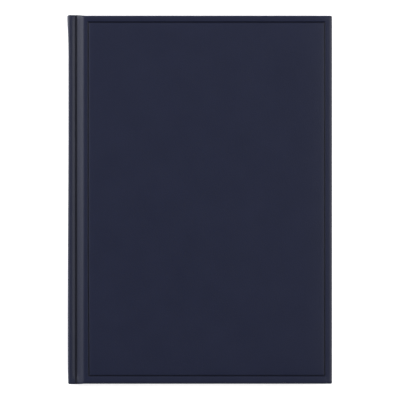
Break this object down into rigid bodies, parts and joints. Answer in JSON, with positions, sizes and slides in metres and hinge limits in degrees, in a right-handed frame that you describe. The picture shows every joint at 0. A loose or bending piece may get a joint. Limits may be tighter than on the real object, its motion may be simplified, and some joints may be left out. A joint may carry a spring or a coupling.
{
  "type": "pilot logbook",
  "caption": "Case-bound pilot logbook with padded leatherette covers, joint grooves, a hollow back and sewn ruled pages.",
  "frame": {"origin": "middle of the closed book's footprint, on the surface that its back cover lies on", "axes": "+X from the spine to the fore edge, +Y from the foot to the head, +Z out of the front cover"},
  "size_m": [0.217, 0.3038, 0.0242],
  "materials": {
    "leatherette": "fine-grained satin",
    "greyboard": "matt, fibrous",
    "foam": "soft closed-cell sheet",
    "endpaper": "smooth matt",
    "log_paper": "uncoated, ruled",
    "mull": "open gauze",
    "kraft_paper": "machine-glazed",
    "thread": "waxed",
    "headband_cloth": "striped woven bead"
  },
  "bodies": {
    "text_block": {"back_endpaper_fold": "endpaper", "back_joint_skin": "leatherette", "front_endpaper_fold": "endpaper", "front_joint_skin": "leatherette", "headband": "headband_cloth", "kraft_spine_lining": "kraft_paper", "mull_lining": "mull", "sewing_thread": "thread", "signature_01": "log_paper", "signature_02": "log_paper", "signature_03": "log_paper", "signature_04": "log_paper", "signature_05": "log_paper", "signature_06": "log_paper", "signature_07": "log_paper", "signature_08": "log_paper", "signature_09": "log_paper", "signature_10": "log_paper", "signature_11": "log_paper", "signature_12": "log_paper", "spine_board": "greyboard", "spine_skin": "leatherette", "tailband": "headband_cloth"},
    "front_cover": {"front_board": "greyboard", "front_foam": "foam", "front_cover_skin": "leatherette", "front_pastedown": "endpaper", "front_mull_flange": "mull"},
    "back_cover": {"back_board": "greyboard", "back_foam": "foam", "back_cover_skin": "leatherette", "back_pastedown": "endpaper", "back_mull_flange": "mull"},
    "turning_front_flyleaf": {"front_flyleaf": "endpaper"},
    "turning_title_leaf": {"title_leaf": "log_paper"},
    "turning_holder_details_leaf": {"holder_details_leaf": "log_paper"},
    "turning_log_leaf_1": {"log_leaf_1": "log_paper"},
    "turning_log_leaf_2": {"log_leaf_2": "log_paper"},
    "turning_back_flyleaf": {"back_flyleaf": "endpaper"}
  },
  "joints": [
    {"name": "front_cover_open", "type": "hinge", "parent": "text_block", "child": "front_cover", "pos_m": [-0.1038, 0, 0.02068], "axis": [0, -1, 0], "range_deg": [0, 179], "deforming": ["front_joint_skin"]},
    {"name": "back_cover_open", "type": "hinge", "parent": "text_block", "child": "back_cover", "pos_m": [-0.1038, 0, 0.00356], "axis": [0, 1, 0], "range_deg": [0, 179], "deforming": ["back_joint_skin"]},
    {"name": "front_flyleaf_turn", "type": "hinge", "parent": "text_block", "child": "turning_front_flyleaf", "pos_m": [-0.1015, 0, 0.02068], "axis": [0, -1, 0], "range_deg": [0, 180]},
    {"name": "title_leaf_turn", "type": "hinge", "parent": "text_block", "child": "turning_title_leaf", "pos_m": [-0.1015, 0, 0.02068], "axis": [0, -1, 0], "range_deg": [0, 180]},
    {"name": "holder_details_leaf_turn", "type": "hinge", "parent": "text_block", "child": "turning_holder_details_leaf", "pos_m": [-0.1015, 0, 0.02068], "axis": [0, -1, 0], "range_deg": [0, 180]},
    {"name": "log_leaf_1_turn", "type": "hinge", "parent": "text_block", "child": "turning_log_leaf_1", "pos_m": [-0.1015, 0, 0.02068], "axis": [0, -1, 0], "range_deg": [0, 180]},
    {"name": "log_leaf_2_turn", "type": "hinge", "parent": "text_block", "child": "turning_log_leaf_2", "pos_m": [-0.1015, 0, 0.02068], "axis": [0, -1, 0], "range_deg": [0, 180]},
    {"name": "back_flyleaf_turn", "type": "hinge", "parent": "text_block", "child": "turning_back_flyleaf", "pos_m": [-0.1015, 0, 0.00356], "axis": [0, 1, 0], "range_deg": [0, 180]}
  ],
  "couplings": [
    {"joint": "front_flyleaf_turn", "follows": "front_cover_open", "ratio": 0.975},
    {"joint": "title_leaf_turn", "follows": "front_cover_open", "ratio": 0.96},
    {"joint": "holder_details_leaf_turn", "follows": "front_cover_open", "ratio": 0.945},
    {"joint": "log_leaf_1_turn", "follows": "front_cover_open", "ratio": 0.925},
    {"joint": "log_leaf_2_turn", "follows": "front_cover_open", "ratio": 0.9},
    {"joint": "back_flyleaf_turn", "follows": "back_cover_open", "ratio": 0.975}
  ]
}
